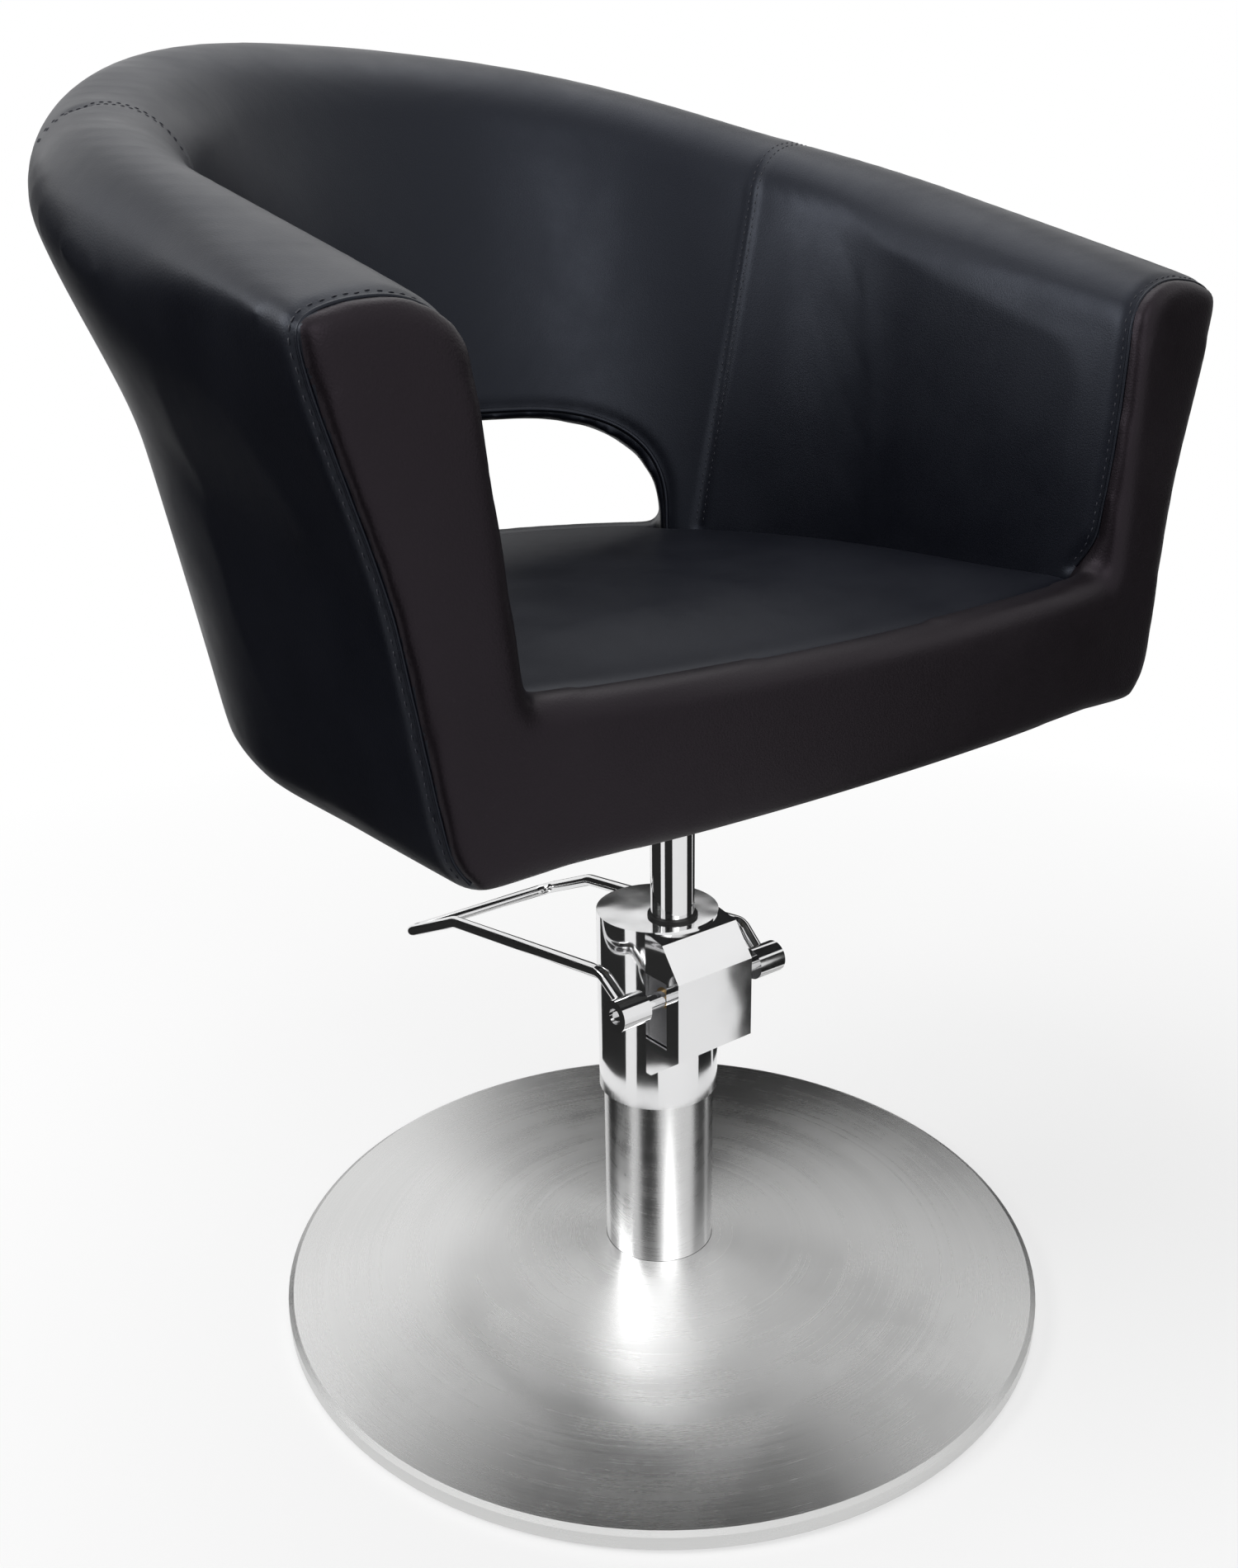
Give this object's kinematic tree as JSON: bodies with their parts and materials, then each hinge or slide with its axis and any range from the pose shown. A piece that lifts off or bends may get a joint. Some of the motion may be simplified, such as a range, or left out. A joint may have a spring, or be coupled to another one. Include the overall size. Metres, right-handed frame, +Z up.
{
  "type": "hydraulic styling chair",
  "caption": "Upholstered tub seat with an arched gap under its back, on a chromed hydraulic ram with a foot loop and a round brushed disc base.",
  "frame": {"origin": "centre of the base on the floor", "axes": "+Z up, -Y is the front of the chair where the sitter's legs go, +X to the sitter's left"},
  "size_m": [0.7334, 0.7252, 0.9486],
  "materials": {
    "floor_rubber": "matt black rubber",
    "base_steel": "black painted steel",
    "brushed_cover": "radially brushed stainless steel",
    "zinc_fastener": "zinc plated",
    "chrome_tube": "mirror chrome",
    "chrome_head": "mirror chrome, slightly soft casting",
    "chrome_ram": "hard chrome, ground",
    "chrome_lever": "mirror chrome with handling marks",
    "pump_steel": "turned steel",
    "pump_casting": "machined iron casting",
    "bronze": "oiled bronze",
    "spring_steel": "spring wire",
    "seal_rubber": "nitrile rubber",
    "black_steel": "black powder coat",
    "plywood": "birch plywood",
    "timber": "sawn pine",
    "dust_cloth": "black non-woven dust cloth",
    "black_leather": "black leatherette, fine grain, satin",
    "front_leather": "black leatherette, fine grain, satin"
  },
  "bodies": {
    "base": {"floor_ring": "floor_rubber", "base_plate": "base_steel", "base_cover": "brushed_cover", "column_flange": "base_steel", "flange_bolts": "zinc_fastener", "column_tube": "chrome_tube", "barrel_foot": "pump_steel", "pump_cylinder": "pump_steel", "gland_nut": "pump_steel", "ram_wiper": "seal_rubber", "pump_block": "pump_casting", "head_cover": "chrome_head", "shaft_bushes": "bronze", "plunger_spring": "spring_steel"},
    "lift": {"ram": "chrome_ram", "ram_piston": "pump_steel", "piston_seal": "seal_rubber", "thrust_washer": "bronze"},
    "lever": {"lever_shaft": "chrome_lever", "foot_lever": "chrome_lever", "lever_hub_right": "chrome_lever", "lever_hub_left": "chrome_lever", "hub_set_screws": "zinc_fastener", "shaft_crank": "pump_steel"},
    "plunger_body": {"plunger": "pump_steel"},
    "seat": {"socket_bush": "bronze", "seat_socket": "black_steel", "seat_plate": "black_steel", "plate_washers": "zinc_fastener", "plate_bolts": "zinc_fastener", "tee_nuts": "zinc_fastener", "seat_board": "plywood", "bottom_cover": "dust_cloth", "outer_cover": "black_leather", "tub_shell": "plywood", "inner_arm_pad_left": "black_leather", "inner_arm_pad_right": "black_leather", "inner_back_pad": "black_leather", "top_roll": "black_leather", "front_panel": "front_leather", "front_rail": "timber", "seat_cushion": "black_leather"}
  },
  "joints": [
    {"name": "seat_lift", "type": "slide", "parent": "base", "child": "lift", "axis": [0, 0, 1], "range_m": [-0.095, 0.06]},
    {"name": "seat_swivel", "type": "hinge", "parent": "lift", "child": "seat", "pos_m": [0, -0.018, 0.43], "axis": [0, 0, 1], "continuous": true},
    {"name": "foot_lever_press", "type": "hinge", "parent": "base", "child": "lever", "pos_m": [0, -0.047, 0.269], "axis": [-1, 0, 0], "range_deg": [0, 26], "stiffness_Nm_per_rad": 14, "springref_deg": -14.32},
    {"name": "plunger_stroke", "type": "slide", "parent": "base", "child": "plunger_body", "axis": [0, 0, -1], "range_m": [0, 0.008], "deforming": ["plunger_spring"]}
  ],
  "couplings": [
    {"joint": "plunger_stroke", "follows": "foot_lever_press", "m_per_rad": 0.0168}
  ]
}
